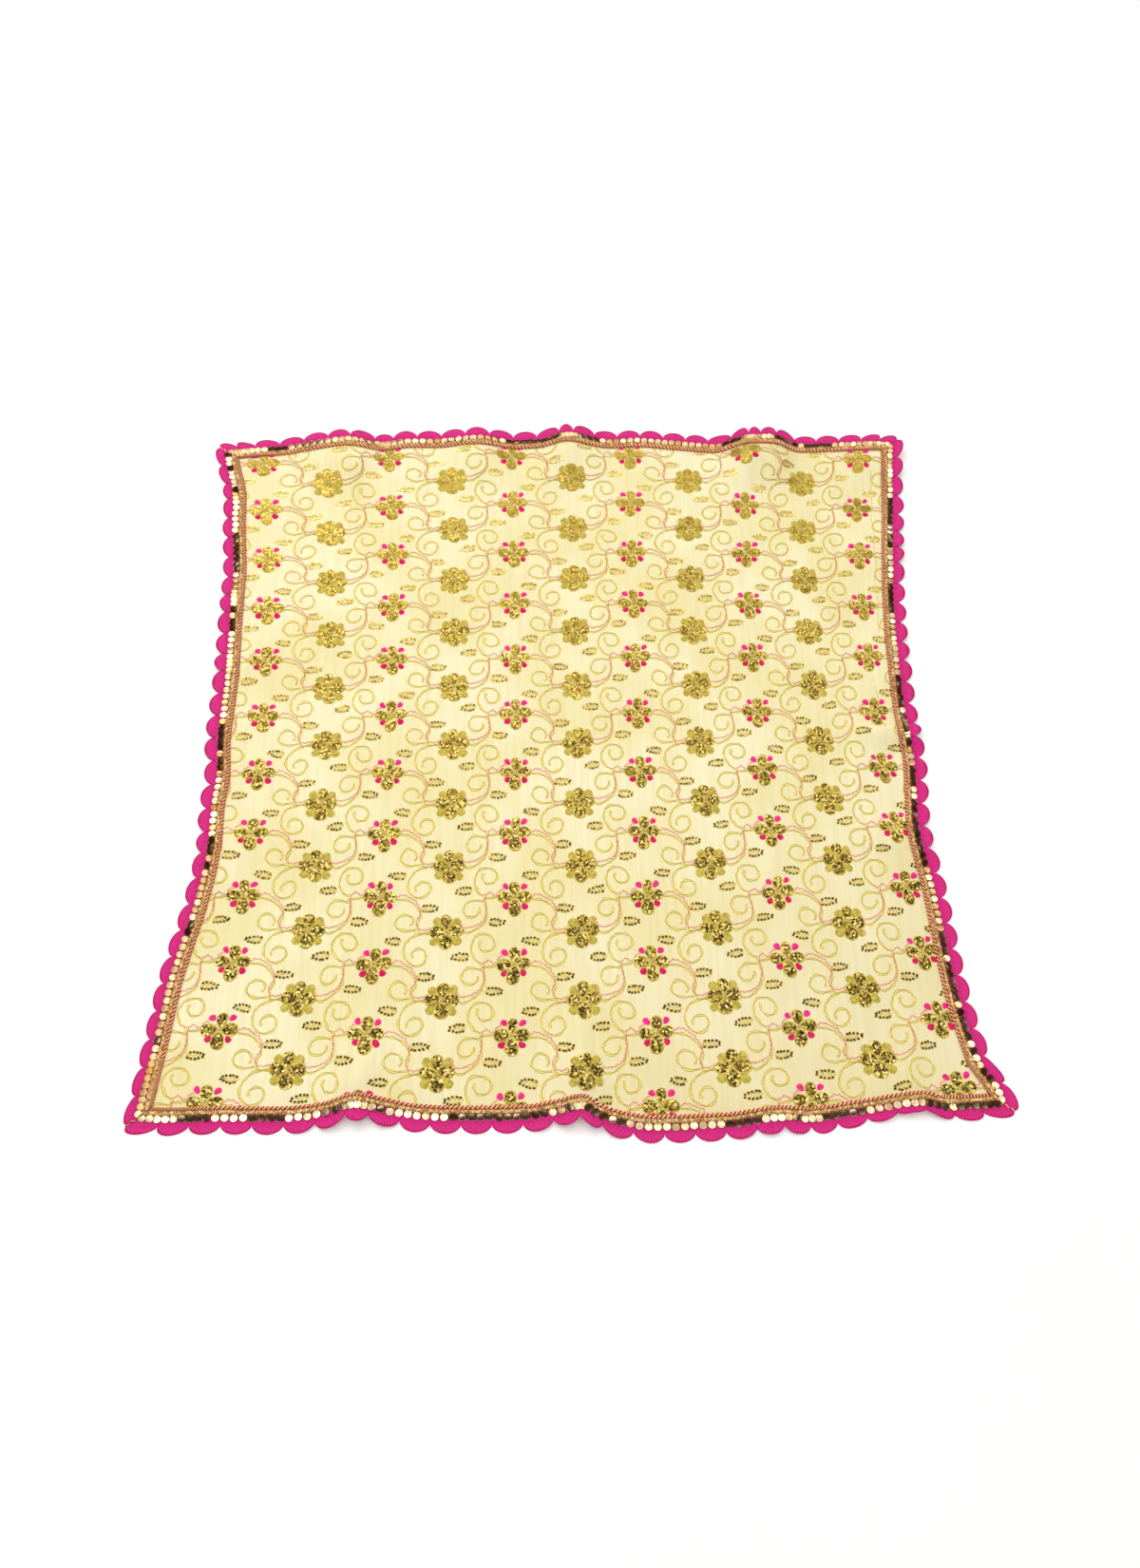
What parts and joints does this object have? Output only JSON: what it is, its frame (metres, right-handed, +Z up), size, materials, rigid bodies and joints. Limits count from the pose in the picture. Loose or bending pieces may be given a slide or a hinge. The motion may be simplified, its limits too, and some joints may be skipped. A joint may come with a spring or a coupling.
{
  "type": "chunri",
  "caption": "Square sheer net chunri laid flat, with vine embroidery and a mitred border of twisted cord, gimp braid, coin spangles and scalloped crochet lace.",
  "frame": {"origin": "on the floor under the middle of the cloth's box", "axes": "+Z up from the floor through the cloth, +Y towards the far edge in the picture, +X towards its right edge"},
  "size_m": [1.0736, 1.0376, 0.0265],
  "materials": {
    "net": "sheer pale yellow net with gold and pink thread embroidery and small gold sequins",
    "lace": "magenta crochet lace, matt",
    "braid": "crinkled gold gimp braid, half bright",
    "cord": "maroon cord twisted with gold thread, satin"
  },
  "bodies": {
    "root": {"ground": "net", "lace_near": "lace", "braid_near": "braid", "cord_near": "cord", "lace_right": "lace", "braid_right": "braid", "cord_right": "cord", "lace_far": "lace", "braid_far": "braid", "cord_far": "cord", "lace_left": "lace", "braid_left": "braid", "cord_left": "cord"}
  },
  "joints": []
}
